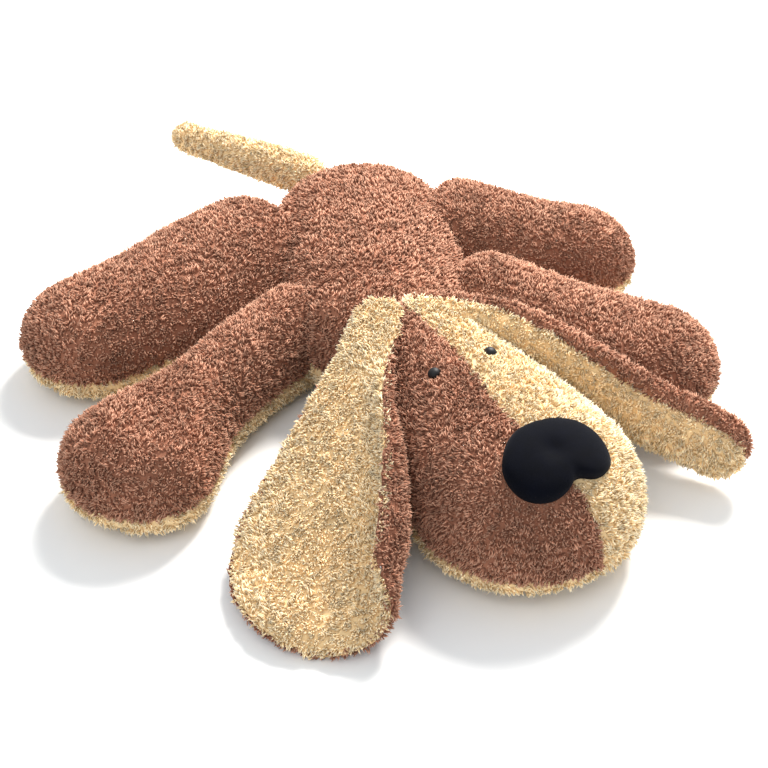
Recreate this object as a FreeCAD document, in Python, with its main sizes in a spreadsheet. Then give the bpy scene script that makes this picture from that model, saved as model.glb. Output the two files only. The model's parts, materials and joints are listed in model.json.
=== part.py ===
import FreeCAD, Part
import math
import os
import Sketcher
from FreeCAD import Placement, Rotation, Vector

# Floppy plush dog lying flat on its belly, as a sewn toy: fabric panels over stuffing, joined at soft
# seams. Millimetres. +Z is up, the nose points along -Y and the dog's right side is -X. The origin is
# on the surface that the dog lies on, below the middle of the whole toy.

doc = FreeCAD.newDocument("PlushDog")

# ---------------------------------------------------------------------------------------------
# Driving sizes. Every soft part is a pillow: two circles joined by their tangents in plan, a
# thickness, and a rounded edge. "root" is the end that is sewn on, "tip" is the free end.
# "x", "y" and "z" place the root circle's centre, and "heading" turns the part from straight
# ahead towards the dog's left.
# ---------------------------------------------------------------------------------------------
SIZES = {
    "cloth": 2.5,
    "seam_gap": 3.0,
    "ear_cloth": 2.0,
    # trunk: rump end first
    "trunk_root": 74, "trunk_tip": 58, "trunk_length": 110, "trunk_thick": 92, "trunk_edge": 44,
    "trunk_x": 26, "trunk_y": 109, "trunk_z": 46, "trunk_heading": -6, "trunk_seam": 34,
    # head: back of the skull first
    "skull_root": 50, "skull_tip": 77, "skull_length": 140, "skull_thick": 92, "skull_edge": 44,
    "skull_x": 28, "skull_y": -58, "skull_z": 46, "skull_heading": 13, "skull_seam": 26,
    # legs
    "hind_right_root": 48, "hind_right_tip": 55, "hind_right_length": 152, "hind_right_thick": 68,
    "hind_right_edge": 32, "hind_right_x": -50, "hind_right_y": 109, "hind_right_z": 34,
    "hind_right_heading": -63, "hind_right_seam": 24,
    "hind_left_root": 42, "hind_left_tip": 44, "hind_left_length": 110, "hind_left_thick": 68,
    "hind_left_edge": 32, "hind_left_x": 90, "hind_left_y": 106, "hind_left_z": 34,
    "hind_left_heading": 65, "hind_left_seam": 24,
    "front_right_root": 34, "front_right_tip": 56, "front_right_length": 182, "front_right_thick": 68,
    "front_right_edge": 32, "front_right_x": -34, "front_right_y": 20, "front_right_z": 34,
    "front_right_heading": -46, "front_right_seam": 24,
    "front_left_root": 38, "front_left_tip": 54, "front_left_length": 150, "front_left_thick": 68,
    "front_left_edge": 32, "front_left_x": 78, "front_left_y": 21, "front_left_z": 34,
    "front_left_heading": 46, "front_left_seam": 24,
    # ears: pitch drops the tip, roll turns the flap about its own length
    "ear_right_root": 18, "ear_right_tip": 55, "ear_right_length": 150, "ear_right_thick": 22,
    "ear_right_edge": 10.5, "ear_right_x": -24, "ear_right_y": -72, "ear_right_z": 56.8,
    "ear_right_heading": -21, "ear_right_pitch": 13, "ear_right_roll": 7, "ear_right_seam": 0,
    "ear_left_root": 13, "ear_left_tip": 37, "ear_left_length": 134, "ear_left_thick": 18,
    "ear_left_edge": 8.5, "ear_left_x": 92, "ear_left_y": -81, "ear_left_z": 61,
    "ear_left_heading": 42, "ear_left_pitch": 9, "ear_left_roll": -80, "ear_left_seam": 0,
    # tail: a stuffed tube with a round root and a round tip
    "tail_root": 15, "tail_tip": 9, "tail_length": 109,
    "tail_x": -10, "tail_y": 192, "tail_z": 60, "tail_heading": -131, "tail_rise": 4,
    # eyes: plastic domes on a shank, held inside by a washer
    "eye_radius": 4.5, "eye_height": 3.2, "shank_radius": 1.8, "shank_length": 11,
    "washer_radius": 6.5, "washer_thick": 1.6, "washer_depth": 5.5,
    "eye_forward": 64, "eye_spread": 21,
    # nose: a padded patch of velour on the front of the muzzle
    "nose_pad": 3.0, "nose_lobe": 24, "nose_spread": 13, "nose_forward": 193, "nose_height": 86,
    "nose_tilt": 60, "nose_side": 4, "nose_reach": 60,
}

sheet = doc.addObject("Spreadsheet::Sheet", "Sizes")
for row, (alias, number) in enumerate(SIZES.items(), start=1):
    sheet.set(f"A{row}", str(number))
    sheet.setAlias(f"A{row}", alias)
doc.recompute()


def size(alias):
    """The number that the sheet holds for an alias."""
    return float(sheet.get(alias))


def set_aside(placement, offset):
    """A placement moved by an offset given in its own axes."""
    return placement.multiply(Placement(offset, Rotation()))


def lie(part):
    """Where a part lies: its own +X runs from root to tip, its own +Z is the side that faces up."""
    heading = Rotation(Vector(0, 0, 1), size(f"{part}_heading") - 90)
    pitch = Rotation(Vector(0, 1, 0), size(f"{part}_pitch") if f"{part}_pitch" in SIZES else 0)
    roll = Rotation(Vector(1, 0, 0), size(f"{part}_roll") if f"{part}_roll" in SIZES else 0)
    base = Vector(size(f"{part}_x"), size(f"{part}_y"), size(f"{part}_z"))
    return Placement(base, heading.multiply(pitch).multiply(roll))


# ---------------------------------------------------------------------------------------------
# Pillows
# ---------------------------------------------------------------------------------------------
def slot_sketch(body, part, grow):
    """A tapered slot on the body's XY plane, larger all round by grow, a (sign, alias) pair."""
    sign, by = grow
    root = size(f"{part}_root") + sign * size(by)
    tip = size(f"{part}_tip") + sign * size(by)
    length = size(f"{part}_length")
    sketch = body.newObject("Sketcher::SketchObject", f"{body.Name}_outline")
    plane = [item for item in body.Origin.OriginFeatures if item.Role == "XY_Plane"][0]
    sketch.AttachmentSupport = [(plane, "")]
    sketch.MapMode = "FlatFace"
    lean = math.acos((root - tip) / length)
    up = Vector(0, 0, 1)
    root_top = Vector(root * math.cos(lean), root * math.sin(lean), 0)
    root_low = Vector(root_top.x, -root_top.y, 0)
    tip_top = Vector(length + tip * math.cos(lean), tip * math.sin(lean), 0)
    tip_low = Vector(tip_top.x, -tip_top.y, 0)
    root_circle = Part.Circle(Vector(0, 0, 0), up, root)
    tip_circle = Part.Circle(Vector(length, 0, 0), up, tip)
    sketch.addGeometry(Part.ArcOfCircle(root_circle, lean, 2 * math.pi - lean), False)
    sketch.addGeometry(Part.LineSegment(root_low, tip_low), False)
    sketch.addGeometry(Part.ArcOfCircle(tip_circle, -lean, lean), False)
    sketch.addGeometry(Part.LineSegment(tip_top, root_top), False)
    sketch.addConstraint([
        Sketcher.Constraint("Tangent", 0, 2, 1, 1),
        Sketcher.Constraint("Tangent", 1, 2, 2, 1),
        Sketcher.Constraint("Tangent", 2, 2, 3, 1),
        Sketcher.Constraint("Tangent", 3, 2, 0, 1),
        Sketcher.Constraint("Coincident", 0, 3, -1, 1),
        Sketcher.Constraint("PointOnObject", 2, 3, -1),
    ])
    for name, kind, first, number, formula in (
        ("root", "Radius", (0,), root, f"Sizes.{part}_root + ({sign}) * Sizes.{by}"),
        ("tip", "Radius", (2,), tip, f"Sizes.{part}_tip + ({sign}) * Sizes.{by}"),
        ("length", "DistanceX", (0, 3, 2, 3), length, f"Sizes.{part}_length"),
    ):
        index = sketch.addConstraint(Sketcher.Constraint(kind, *first, number))
        sketch.renameConstraint(index, name)
        sketch.setExpression(f"Constraints.{name}", formula)
    return sketch


def pillow(part, name, grow):
    """A closed cushion with rounded edges, centred on its own mid plane."""
    sign, by = grow
    body = doc.addObject("PartDesign::Body", name)
    sketch = slot_sketch(body, part, grow)
    pad = body.newObject("PartDesign::Pad", f"{name}_pad")
    pad.Profile = sketch
    pad.Midplane = True
    pad.Length = size(f"{part}_thick") + 2 * sign * size(by)
    pad.setExpression("Length", f"Sizes.{part}_thick + 2 * ({sign}) * Sizes.{by}")
    doc.recompute()
    flat = [f"Face{number}" for number, face in enumerate(pad.Shape.Faces, start=1)
            if abs(face.normalAt(0, 0).z) > 0.99]
    edge = body.newObject("PartDesign::Fillet", f"{name}_edge")
    edge.Base = (pad, flat)
    edge.Radius = size(f"{part}_edge") + sign * size(by)
    edge.setExpression("Radius", f"Sizes.{part}_edge + ({sign}) * Sizes.{by}")
    body.Tip = edge
    doc.recompute()
    body.Placement = lie(part)
    return body


def column(part, name, grow, height):
    """A tall upright prism on a part's outline, to keep other parts out of the space above it."""
    body = doc.addObject("PartDesign::Body", name)
    sketch = slot_sketch(body, part, grow)
    pad = body.newObject("PartDesign::Pad", f"{name}_pad")
    pad.Profile = sketch
    pad.Midplane = True
    pad.Length = height
    body.Tip = pad
    doc.recompute()
    body.Placement = lie(part)
    return body


def cut(name, base, tool):
    """What is left of one solid after another is taken away."""
    result = doc.addObject("Part::Cut", name)
    result.Base = base
    result.Tool = tool
    return result


def common(name, base, tool):
    """What two solids share."""
    result = doc.addObject("Part::Common", name)
    result.Base = base
    result.Tool = tool
    return result


def trim(name, base, tools):
    """A solid cut by each tool in turn."""
    result = base
    for number, tool in enumerate(tools, start=1):
        result = cut(f"{name}_trim{number}", result, tool)
    return result


BLOCK = 900


def block_above(part, name):
    """A large block whose underside is the plane of the part's edge seam."""
    block = doc.addObject("Part::Box", name)
    block.Length = BLOCK
    block.Width = BLOCK
    block.Height = BLOCK
    drop = size(f"{part}_seam") - size(f"{part}_z") if size(f"{part}_seam") else 0
    block.Placement = set_aside(lie(part), Vector(-BLOCK / 2, -BLOCK / 2, drop))
    return block


nodes = {}


def keep(node, item):
    """Give a finished sub-part the name of its file."""
    item.Label = node
    nodes[node] = item


def sewn_limb(part, upper, lower, filling, cloth, clear_of=()):
    """Two fabric panels joined round the edge, and the stuffing between them."""
    outside = pillow(part, f"{part}_outside", (0, cloth))
    inside = pillow(part, f"{part}_inside", (-1, cloth))
    above = block_above(part, f"{part}_above")
    cover = trim(f"{part}_cover", cut(f"{part}_skin", outside, inside), clear_of)
    keep(upper, common(f"{part}_upper", cover, above))
    keep(lower, cut(f"{part}_lower", cover, above))
    keep(filling, trim(f"{part}_fill", inside, clear_of))


# Room kept round the trunk and the head, so that what is sewn to them can bend at the seam.
skull_room = pillow("skull", "skull_room", (1, "seam_gap"))
trunk_room = pillow("trunk", "trunk_room", (1, "seam_gap"))

# Trunk: brown back and cream belly, hollowed at the neck for the back of the head.
sewn_limb("trunk", "back_panel", "belly_panel", "trunk_stuffing", "cloth", [skull_room])

# Legs: brown on top, cream underneath.
LEGS = ("hind_right", "hind_left", "front_right", "front_left")
for leg in LEGS:
    sewn_limb(leg, f"{leg}_leg_top", f"{leg}_leg_sole", f"{leg}_leg_stuffing", "cloth", [trunk_room])

# ---------------------------------------------------------------------------------------------
# Head: two face panels that meet on the centre line, a chin panel, the nose patch and the eyes
# ---------------------------------------------------------------------------------------------
skull_place = lie("skull")
skull_outside = pillow("skull", "skull_outside", (0, "cloth"))
skull_inside = pillow("skull", "skull_inside", (-1, "cloth"))
skull_above = block_above("skull", "skull_above")
skull_cover = cut("skull_cover", skull_outside, skull_inside)
face = common("face", skull_cover, skull_above)
keep("chin_panel", cut("chin", skull_cover, skull_above))

left_half = doc.addObject("Part::Box", "left_half")
left_half.Length = BLOCK
left_half.Width = BLOCK
left_half.Height = BLOCK
left_half.Placement = set_aside(skull_place, Vector(-BLOCK / 2, 0, -BLOCK / 2))


def eye_seat(side):
    """Where an eye sits on the top of the head: side is -1 on the dog's right and 1 on its left."""
    offset = Vector(size("eye_forward"), side * size("eye_spread"), size("skull_thick") / 2)
    return set_aside(skull_place, offset)


def disc(name, seat, drop, radius, height):
    """A flat cylinder whose lower face is drop below the seat."""
    cylinder = doc.addObject("Part::Cylinder", name)
    cylinder.setExpression("Radius", f"Sizes.{radius}")
    cylinder.setExpression("Height", f"Sizes.{height}")
    cylinder.Placement = set_aside(seat, Vector(0, 0, -drop))
    return cylinder


shanks = []
washers = []
for side_name, side in (("right", -1), ("left", 1)):
    seat = eye_seat(side)
    ball = doc.addObject("Part::Sphere", f"eye_ball_{side_name}")
    ball.setExpression("Radius", "Sizes.eye_radius")
    ball.Placement = set_aside(seat, Vector(0, 0, size("eye_height") - size("eye_radius")))
    rim = disc(f"eye_rim_{side_name}", seat, 0, "eye_radius", "eye_height")
    dome = common(f"eye_dome_{side_name}", ball, rim)
    shank = disc(f"eye_shank_{side_name}", seat, size("shank_length"), "shank_radius", "shank_length")
    washer = disc(f"washer_disc_{side_name}", seat, size("washer_depth"), "washer_radius", "washer_thick")
    eye = doc.addObject("Part::Fuse", f"eye_whole_{side_name}")
    eye.Base = dome
    eye.Tool = shank
    keep(f"eye_{side_name}", eye)
    keep(f"eye_washer_{side_name}", cut(f"washer_{side_name}", washer, shank))
    shanks.append(shank)
    washers.append(washer)

face_bored = trim("face", face, shanks)
keep("face_panel_cream", common("face_cream", face_bored, left_half))
keep("face_panel_brown", cut("face_brown", face_bored, left_half))
keep("head_stuffing", trim("skull_fill", skull_inside, shanks + washers))

# Nose patch: two round lobes side by side, cut from a padded layer that follows the muzzle.
nose_outside = pillow("skull", "nose_outside", (1, "nose_pad"))
nose_layer = cut("nose_layer", nose_outside, skull_outside)
nose_place = set_aside(skull_place, Vector(size("nose_forward"), size("nose_side"), 0))
nose_place = nose_place.multiply(Placement(Vector(0, 0, size("nose_height") - size("skull_z")),
                                           Rotation(Vector(0, 1, 0), 90 - size("nose_tilt"))))
lobes = []
for side in (-1, 1):
    lobe = doc.addObject("Part::Cylinder", "nose_lobe")
    lobe.setExpression("Radius", "Sizes.nose_lobe")
    lobe.setExpression("Height", "Sizes.nose_reach")
    lobe.Placement = set_aside(nose_place, Vector(0, side * size("nose_spread"), -size("nose_reach") / 2))
    lobes.append(lobe)
nose_cutter = doc.addObject("Part::Fuse", "nose_cutter")
nose_cutter.Base = lobes[0]
nose_cutter.Tool = lobes[1]
keep("nose_patch", common("nose", nose_layer, nose_cutter))

# ---------------------------------------------------------------------------------------------
# Ears: brown outside, cream lining, thin batting between. They clear the head by the seam gap.
# ---------------------------------------------------------------------------------------------
EAR_SWEEP = 240
leg_column = column("front_left", "leg_column", (1, "seam_gap"), EAR_SWEEP)
sewn_limb("ear_right", "ear_right_lining", "ear_right_outer", "ear_right_batting", "ear_cloth",
          [skull_room, trunk_room])
sewn_limb("ear_left", "ear_left_outer", "ear_left_lining", "ear_left_batting", "ear_cloth",
          [skull_room, trunk_room, leg_column])

# ---------------------------------------------------------------------------------------------
# Tail: a cone with round ends, a cover over stuffing
# ---------------------------------------------------------------------------------------------
tail_line = Rotation(Vector(0, 0, 1), size("tail_heading") - 90)
tail_rise = Rotation(Vector(0, 1, 0), 90 - size("tail_rise"))
tail_place = Placement(Vector(size("tail_x"), size("tail_y"), size("tail_z")), tail_line.multiply(tail_rise))


def tail_solid(name, sign):
    """The tail's cone and round ends, thinner by the cloth when the sign is -1."""
    cone = doc.addObject("Part::Cone", f"{name}_cone")
    cone.setExpression("Radius1", f"Sizes.tail_root + ({sign}) * Sizes.cloth")
    cone.setExpression("Radius2", f"Sizes.tail_tip + ({sign}) * Sizes.cloth")
    cone.setExpression("Height", "Sizes.tail_length")
    cone.Placement = tail_place
    ends = []
    for end, along in (("root", 0), ("tip", size("tail_length"))):
        ball = doc.addObject("Part::Sphere", f"{name}_{end}")
        ball.setExpression("Radius", f"Sizes.tail_{end} + ({sign}) * Sizes.cloth")
        ball.Placement = set_aside(tail_place, Vector(0, 0, along))
        ends.append(ball)
    solid = doc.addObject("Part::MultiFuse", name)
    solid.Shapes = [cone] + ends
    return solid


tail_outside = tail_solid("tail_outside", 0)
tail_inside = tail_solid("tail_inside", -1)
keep("tail_cover", cut("tail_skin", tail_outside, tail_inside))
keep("tail_stuffing", tail_inside)

# ---------------------------------------------------------------------------------------------
# Check the document and write one file for each sub-part
# ---------------------------------------------------------------------------------------------
doc.recompute()
for item in doc.Objects:
    if "Invalid" in item.State or "Error" in item.State:
        raise RuntimeError(f"{item.Name} failed: {item.State}")

os.makedirs("parts", exist_ok=True)
whole = FreeCAD.BoundBox()
for node, item in nodes.items():
    shape = item.Shape
    if shape.isNull() or not shape.isValid() or shape.Volume <= 0:
        raise RuntimeError(f"{node} has no valid solid")
    whole.add(shape.BoundBox)
    box = shape.BoundBox
    print(f"{node}: {len(shape.Solids)} solid, {shape.Volume / 1000:.1f} cm3, z {box.ZMin:.1f} to {box.ZMax:.1f}")
    shape.exportStep(f"parts/{node}.step")
print(f"{len(nodes)} nodes, box {whole}")
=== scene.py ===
# %% [markdown]
# # A floppy plush dog, sewn, stuffed and lying on its belly
# The dog is made the way a toy maker makes it. Each limb is a closed form like a stuffed bag,
# cut along its seams into cloth panels, and every panel grows a short curly pile of real
# strands. The imported model gives each limb's place, length and width. The swell of the limbs,
# the lines of the ears, the outline of the nose, the dyes and the lamps are given.

# %% Load the frame
import json
import math

import bmesh
import bpy
import numpy as np
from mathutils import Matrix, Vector, kdtree
from mathutils.bvhtree import BVHTree

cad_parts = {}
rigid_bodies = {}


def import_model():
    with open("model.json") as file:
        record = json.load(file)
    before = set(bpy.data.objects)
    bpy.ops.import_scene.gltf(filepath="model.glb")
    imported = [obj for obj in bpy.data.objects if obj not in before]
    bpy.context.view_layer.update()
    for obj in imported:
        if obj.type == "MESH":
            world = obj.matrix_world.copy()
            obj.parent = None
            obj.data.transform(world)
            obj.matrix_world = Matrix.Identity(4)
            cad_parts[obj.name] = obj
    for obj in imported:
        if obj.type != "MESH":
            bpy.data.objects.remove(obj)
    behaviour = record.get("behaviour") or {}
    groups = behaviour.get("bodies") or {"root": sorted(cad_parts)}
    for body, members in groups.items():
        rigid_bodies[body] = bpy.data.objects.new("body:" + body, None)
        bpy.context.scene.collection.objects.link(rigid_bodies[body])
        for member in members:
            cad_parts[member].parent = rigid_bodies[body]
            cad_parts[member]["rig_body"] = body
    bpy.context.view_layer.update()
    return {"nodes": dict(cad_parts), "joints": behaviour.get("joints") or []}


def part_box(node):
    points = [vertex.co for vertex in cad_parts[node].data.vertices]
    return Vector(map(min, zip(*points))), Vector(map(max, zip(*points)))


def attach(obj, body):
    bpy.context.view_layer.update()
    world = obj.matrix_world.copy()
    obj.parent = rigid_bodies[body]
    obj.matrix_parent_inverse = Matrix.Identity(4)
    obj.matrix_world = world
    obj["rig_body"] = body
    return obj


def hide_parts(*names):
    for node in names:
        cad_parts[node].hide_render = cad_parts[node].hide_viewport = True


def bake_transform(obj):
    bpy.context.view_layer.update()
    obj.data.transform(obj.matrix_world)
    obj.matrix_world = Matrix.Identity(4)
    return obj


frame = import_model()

MM = 0.001
UP = np.array([0.0, 0.0, 1.0])
scene = bpy.context.scene

# %% [markdown]
# ## Where each limb lies
# A limb turns on a hinge that lies across it, so the direction square to the hinge, level with
# the floor, is the limb's own length. A limb's own axes are x along it, y towards its left and
# z up, and its measures in those axes come from the corners of its CAD nodes.

# %% Axes and measures of a limb
hinges = {joint["child"]: joint for joint in frame["joints"]}


def unit(vector):
    """The same direction with a length of one, for one vector or a list of them."""
    vector = np.asarray(vector, float)
    return vector / np.maximum(np.linalg.norm(vector, axis=-1, keepdims=True), 1e-12)


def node_points(*names):
    """All the vertices of some CAD nodes."""
    return np.concatenate([[tuple(v.co) for v in frame["nodes"][n].data.vertices] for n in names])


def body_nodes(body):
    """The names of the CAD nodes that move with a body."""
    return [name for name, node in frame["nodes"].items() if node["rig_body"] == body]


def placed(name, mesh):
    """A new object of the scene that holds a mesh, a lamp or a camera."""
    piece = bpy.data.objects.new(name, mesh)
    scene.collection.objects.link(piece)
    return piece


class Limb:
    """A limb's own axes, and its size along them."""

    def __init__(self, body, origin, ahead):
        self.body = body
        self.ahead = unit(ahead)
        self.aside = unit(np.cross(UP, self.ahead))
        self.origin = np.array([origin[0], origin[1], 0.0])
        measured = self.inward(node_points(*body_nodes(body)))
        self.low, self.high = measured.min(0), measured.max(0)

    def inward(self, points):
        """Points of the row frame, in the limb's own axes."""
        return (points - self.origin) @ np.array([self.ahead, self.aside, UP]).T

    def outward(self, points):
        """Points in the limb's own axes, in the row frame."""
        return points @ np.array([self.ahead, self.aside, UP]) + self.origin


def hinged_limb(body):
    """The limb of a body, with its origin on the floor below its hinge."""
    hinge = hinges[body]
    place = np.array(hinge["pos_m"])
    ahead = unit(np.cross(hinge["axis"], UP))
    if (node_points(*body_nodes(body)).mean(0) - place) @ ahead < 0:
        ahead = -ahead
    return Limb(body, place, ahead)


LEGS = ("hind_right_leg", "hind_left_leg", "front_right_leg", "front_left_leg")
limbs = {body: hinged_limb(body) for body in (*LEGS, "head")}
for body, limb in limbs.items():
    print(body, "reaches", round(limb.high[0] / MM), "mm past its hinge, half width",
          round((limb.high[1] - limb.low[1]) / 2 / MM), "mm")

# %% [markdown]
# ## The bag before it is stuffed
# Two panels sewn round their edge make a bag. In plan it has a round end at each side and a
# smooth swell towards the wider one. Across, it is widest at the seam, crowned above it and
# flatter below, where the toy lies on the floor. Rings of points along the limb make that
# closed form, and a voxel remesh turns the rings into even cloth-sized quads.

# %% The rings of a bag
RINGS, RING_POINTS = 56, 44
VOXEL = 4.5 * MM


def closing(x, back, front, round_back, round_front, power=2.0):
    """1 along the middle, falling to 0 at both ends as the end of a bolster does."""
    into = np.clip(np.minimum((x - back) / round_back, (front - x) / round_front), 0, 1)
    return (1 - (1 - into) ** power) ** (1 / power)


def ease(x, start, end):
    """0 before start, 1 after end, and smooth in between."""
    t = np.clip((x - start) / (end - start), 0, 1)
    return t * t * (3 - 2 * t)


def bag_rings(back, front, width, rise, sink, seam, ends, tall_ends, crown=2.2, base=2.8):
    """Points and faces of a bag. width and rise are functions of x; sink is the depth below the seam.
    ends rounds the outline in plan and tall_ends rounds the side view, each as (back, front)."""
    turn = np.linspace(0, math.pi, RINGS + 2)[1:-1]
    points, faces = [(back, 0.0, seam)], []
    for x in back + (front - back) * (1 - np.cos(turn)) / 2:
        half = width(x) * closing(x, back, front, *ends)
        lift = closing(x, back, front, *tall_ends)
        for angle in np.linspace(0, 2 * math.pi, RING_POINTS, endpoint=False):
            c, s = math.cos(angle), math.sin(angle)
            full = crown if s > 0 else base
            y = half * math.copysign(abs(c) ** (2 / full), c)
            tall = rise(x) if s > 0 else sink
            points.append((x, y, seam + lift * tall * math.copysign(abs(s) ** (2 / full), s)))
    last = len(points)
    points.append((front, 0.0, seam))
    for ring in range(RINGS - 1):
        for k in range(RING_POINTS):
            here, there = 1 + ring * RING_POINTS, 1 + (ring + 1) * RING_POINTS
            after = (k + 1) % RING_POINTS
            faces.append((here + k, there + k, there + after, here + after))
    for k in range(RING_POINTS):
        after = (k + 1) % RING_POINTS
        faces.append((0, 1 + k, 1 + after))
        faces.append((last, last - RING_POINTS + after, last - RING_POINTS + k))
    return points, faces


def even_mesh(name, points, faces, voxel=VOXEL):
    """An object with the same closed shape in even quads."""
    mesh = bpy.data.meshes.new(name)
    mesh.from_pydata([tuple(p) for p in points], [], faces)
    bag = placed(name, mesh)
    remesh = bag.modifiers.new("even", "REMESH")
    remesh.mode = "VOXEL"
    remesh.voxel_size = voxel
    bpy.context.view_layer.update()
    evened = bpy.data.meshes.new_from_object(bag.evaluated_get(bpy.context.evaluated_depsgraph_get()))
    bag.modifiers.clear()
    bag.data = evened
    return bag


bags = {}      # the unstuffed form of each limb, in its own axes

# %% [markdown]
# ## Legs
# A leg is a long bag with a narrow root and a wide soft paw. The root runs on inside the trunk,
# so that the joint stays covered when the leg lifts. The swell from root to paw is gradual,
# like a bell, and the top is crowned far more than the sole.

# %% Leg bags
ROOT_DEPTH = 34 * MM        # how far a leg runs on into the trunk behind its hinge
WAIST = dict(zip(LEGS, (1.24, 1.24, 0.55, 0.82)))         # root width against the paw's
THIGH = dict(zip(LEGS, (1.36, 1.34, 1.14, 1.18)))         # root height against the paw's
SWELL_FROM = dict(zip(LEGS, (0.1, 0.1, 0.42, 0.2)))       # where the swell to the paw starts
SIDEWAYS = dict(zip(LEGS, (-8 * MM, 0.0, -9 * MM, 0.0)))  # a bow to one side past the root
SWELL = 2.0 * MM            # left off the bag all round, because stuffing swells it again

for body in LEGS:
    limb = limbs[body]
    paw = (limb.high[1] - limb.low[1]) / 2 - SWELL
    reach = limb.high[0] - SWELL
    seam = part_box(f"{body}_sole")[1].z
    tall = limb.high[2] - seam - SWELL

    def leg_width(x, paw=paw, reach=reach, waist=WAIST[body], swell_from=SWELL_FROM[body]):
        return paw * (waist + (1 - waist) * ease(x, swell_from * reach, reach - paw * 0.75))

    def leg_rise(x, tall=tall, reach=reach, thigh=THIGH[body]):
        return tall * (thigh + (1.03 - thigh) * ease(x, -20 * MM, reach * 0.5))

    points, faces = bag_rings(-ROOT_DEPTH, reach, leg_width, leg_rise, seam - 1 * MM, seam,
                              (36 * MM, paw), (30 * MM, 46 * MM))
    points = [(x, y + SIDEWAYS[body] * ease(x, -ROOT_DEPTH, reach * 0.35), z) for x, y, z in points]
    bags[body] = even_mesh(f"{body}_bag", points, faces)
    print(body, "bag:", len(bags[body].data.polygons), "quads")

# %% [markdown]
# ## Trunk
# The trunk is one broad bag, widest over the rump. Its axes run from the rump to the neck, along
# the line between the tail's hinge and the neck's.

# %% Trunk bag
TRUNK_HEADING = math.radians(-6)
trunk_ahead = np.array([math.sin(TRUNK_HEADING), -math.cos(TRUNK_HEADING), 0])
trunk_middle = node_points("trunk_stuffing").mean(0)
limbs["trunk"] = trunk = Limb("trunk", trunk_middle, trunk_ahead)
TRUNK_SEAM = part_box("belly_panel")[1].z
trunk_half = (trunk.high[1] - trunk.low[1]) / 2 - SWELL
trunk_side = (trunk.high[1] + trunk.low[1]) / 2
trunk.origin = trunk.outward(np.array([0, trunk_side, 0]))
NECK_REACH = 52 * MM        # how far the shoulders run on under the back of the head
trunk_front = trunk.high[0] + NECK_REACH - 30 * MM


def trunk_width(x):
    return trunk_half * (1 - 0.16 * ease(x, -30 * MM, trunk_front))


def trunk_rise(x):
    full = trunk.high[2] - TRUNK_SEAM - SWELL
    return full * (1 - 0.14 * ease(x, 20 * MM, trunk_front))


points, faces = bag_rings(trunk.low[0] + SWELL, trunk_front, trunk_width, trunk_rise,
                          TRUNK_SEAM - 1 * MM, TRUNK_SEAM, (trunk_half, trunk_half * 0.8),
                          (58 * MM, 52 * MM))
bags["trunk"] = even_mesh("trunk_bag", points, faces)
print("trunk bag:", len(bags["trunk"].data.polygons), "quads")

# %% [markdown]
# ## Head
# The head is a teardrop pillow: narrow at the back of the skull, wide and round at the muzzle.
# The muzzle falls away in one long curve, so the nose sits on a slope that faces forward.

# %% Head bag
head = limbs["head"]
CHIN_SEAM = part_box("chin_panel")[1].z
muzzle = (head.high[1] - head.low[1]) / 2 - SWELL
head_front = head.high[0] - SWELL
SKULL_BACK = -44 * MM
SKULL_SHARE = 0.60          # skull width against the muzzle's


def head_width(x):
    return muzzle * (SKULL_SHARE + (1 - SKULL_SHARE) * ease(x, -20 * MM, head_front - muzzle * 0.9))


FACE_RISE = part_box("face_panel_brown")[1].z - CHIN_SEAM - SWELL


def head_rise(x):
    return FACE_RISE * (1 - 0.03 * ease(x, 40 * MM, head_front))


points, faces = bag_rings(SKULL_BACK, head_front, head_width, head_rise, CHIN_SEAM - 1 * MM, CHIN_SEAM,
                          (50 * MM, muzzle), (42 * MM, muzzle * 0.98), crown=2.25)
bags["head"] = even_mesh("head_bag", points, faces)
print("head bag:", len(bags["head"].data.polygons), "quads")

# %% [markdown]
# ## Ears
# An ear is a long teardrop flap with thin batting between a brown outside and a cream lining. It
# is made flat, where its two panels part at the middle, and is bent onto its line afterwards.

# %% Ear bags

def ear_width(x, length, root, tip):
    """Half the flap's width at a place along it."""
    return root + (tip - root) * ease(x, 0.0, length * 0.72) ** 1.1


def ear_bag(body, length, root, tip, half_thick):
    """A flat flap: x from the root's middle to the tip's end, z across its thickness."""
    def width(x):
        return ear_width(x, length, root, tip)

    points, faces = bag_rings(-root, length, width, lambda x: half_thick, half_thick, 0.0,
                              (root, tip * 1.02), (14 * MM, 14 * MM), crown=2.2, base=2.2)
    bags[body] = even_mesh(f"{body}_bag", points, faces, voxel=4 * MM)
    print(body, "bag:", len(bags[body].data.polygons), "quads")


EAR_RIGHT_LENGTH, EAR_LEFT_LENGTH = 244 * MM, 240 * MM
EAR_ROOT_RIGHT, EAR_ROOT_LEFT = 20 * MM, 15 * MM
EAR_RIGHT_HALF, EAR_LEFT_HALF = 68 * MM, 23 * MM
ear_bag("ear_right", EAR_RIGHT_LENGTH, EAR_ROOT_RIGHT, EAR_RIGHT_HALF, 7.5 * MM)
ear_bag("ear_left", EAR_LEFT_LENGTH, EAR_ROOT_LEFT, EAR_LEFT_HALF, 12 * MM)

# %% [markdown]
# ## Tail
# The tail is a slim stuffed tube of one piece of cream cloth, thicker at its root.

# %% Tail bag
tail_root = np.array(hinges["tail"]["pos_m"])
tail_points = node_points("tail_cover")
tail_tip = tail_points[np.argmax(np.linalg.norm(tail_points[:, :2] - tail_root[:2], axis=1))]
limbs["tail"] = tail = Limb("tail", tail_root, (tail_tip - tail_root) * [1, 1, 0])
TAIL_THICK = (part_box("tail_cover")[1].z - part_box("tail_cover")[0].z) / 2


def tail_width(x):
    return TAIL_THICK * (1.0 - 0.34 * ease(x, 0, tail.high[0]))


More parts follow.
